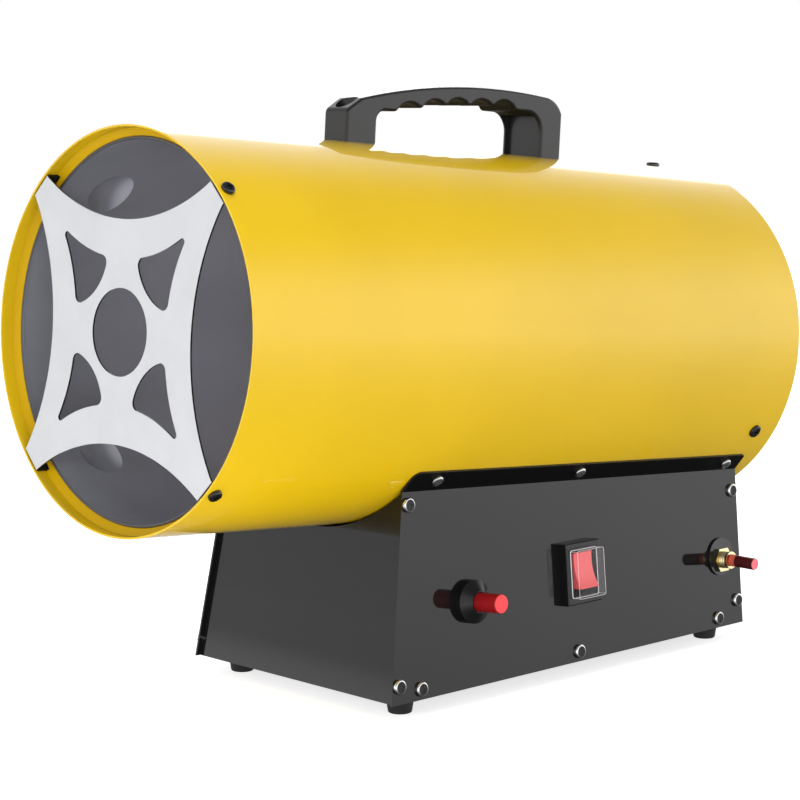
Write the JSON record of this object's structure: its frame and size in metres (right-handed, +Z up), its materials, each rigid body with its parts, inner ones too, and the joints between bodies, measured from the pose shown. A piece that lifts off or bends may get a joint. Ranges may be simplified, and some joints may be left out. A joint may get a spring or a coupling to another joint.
{
  "type": "forced air heater",
  "caption": "Portable gas-fired forced air heater: a pitched round tube with a guarded hot air outlet and fan, carried on a sheet metal base with feet, grip handle and side controls.",
  "frame": {"origin": "on the ground, under the middle of the bounding box", "axes": "+Z up; the outlet faces -X with its end pitched up; the controls face -Y; +X runs to the air intake"},
  "size_m": [0.4235, 0.2, 0.3176],
  "materials": {
    "yellow_paint": "gloss",
    "dark_paint": "gloss",
    "ring_paint": "satin",
    "liner_steel": "satin",
    "guard_plate": "satin",
    "grille_paint": "satin",
    "dark_screw": "black oxide",
    "bright_screw": "polished",
    "handle_plastic": "satin",
    "black_plastic": "gloss",
    "red_plastic": "gloss",
    "rocker_plastic": "gloss",
    "clear_plastic": "clear",
    "cap_plastic": "gloss",
    "seal_rubber": "matt",
    "black_rubber": "matt",
    "brass": "turned",
    "copper": "drawn",
    "zinc_steel": "zinc plated",
    "burner_steel": "heat tinted",
    "fan_aluminium": "pressed",
    "motor_case": "satin",
    "ceramic": "glazed",
    "block_plastic": "plain"
  },
  "bodies": {
    "heater": {"outer_casing": "yellow_paint", "mouth_ring": "ring_paint", "combustion_liner": "liner_steel", "liner_rear_ring": "zinc_steel", "outlet_guard": "guard_plate", "guard_screws": "dark_screw", "rear_grille": "grille_paint", "grille_screws": "dark_screw", "motor_body": "motor_case", "motor_front_cap": "motor_case", "motor_screws": "bright_screw", "burner_cup": "burner_steel", "burner_bracket": "zinc_steel", "burner_nozzle": "brass", "electrode_insulator": "ceramic", "ignition_electrode": "burner_steel", "thermocouple": "copper", "overheat_thermostat": "zinc_steel", "handle": "handle_plastic", "handle_screws": "bright_screw", "control_side_panel": "dark_paint", "far_side_panel": "dark_paint", "control_flange_screws": "dark_screw", "far_flange_screws": "dark_screw", "control_panel_screws": "bright_screw", "far_panel_screws": "bright_screw", "front_panel": "dark_paint", "rear_panel": "dark_paint", "base_floor": "dark_paint", "foot_front_control": "black_rubber", "foot_front_far": "black_rubber", "foot_rear_control": "black_rubber", "foot_rear_far": "black_rubber", "foot_screws": "bright_screw", "switch_frame": "black_plastic", "switch_cover": "clear_plastic", "valve_collar": "black_plastic", "valve_body": "brass", "valve_spring": "zinc_steel", "inlet_washer": "dark_screw", "inlet_nut": "brass", "inlet_fitting": "brass", "gas_burner_pipe": "copper", "gas_feed_pipe": "copper", "casing_grommet": "black_rubber", "cord_gland": "black_plastic", "cord_gland_nut": "black_plastic", "terminal_block": "block_plastic", "ignition_module": "black_plastic"},
    "fan": {"fan_rotor": "fan_aluminium", "fan_nut": "zinc_steel", "motor_shaft": "zinc_steel"},
    "button": {"valve_button": "red_plastic"},
    "rocker": {"switch_rocker": "rocker_plastic"},
    "cap": {"inlet_cap": "cap_plastic", "inlet_seal": "seal_rubber"}
  },
  "joints": [
    {"name": "fan_spin", "type": "hinge", "parent": "heater", "child": "fan", "pos_m": [0.10875, 0, 0.17777], "axis": [0.9977, 0, -0.0675], "continuous": true},
    {"name": "button_press", "type": "slide", "parent": "heater", "child": "button", "axis": [0, 0.9962, -0.0872], "range_m": [0, 0.004], "stiffness_N_per_m": 400, "springref_m": -0.004, "deforming": ["valve_spring"]},
    {"name": "rocker_tip", "type": "hinge", "parent": "heater", "child": "rocker", "pos_m": [0.04447, -0.07331, 0.05749], "axis": [1, 0, 0], "range_deg": [0, 24]},
    {"name": "cap_pull", "type": "slide", "parent": "heater", "child": "cap", "axis": [0, -1, 0], "range_m": [0, 0.03]}
  ]
}
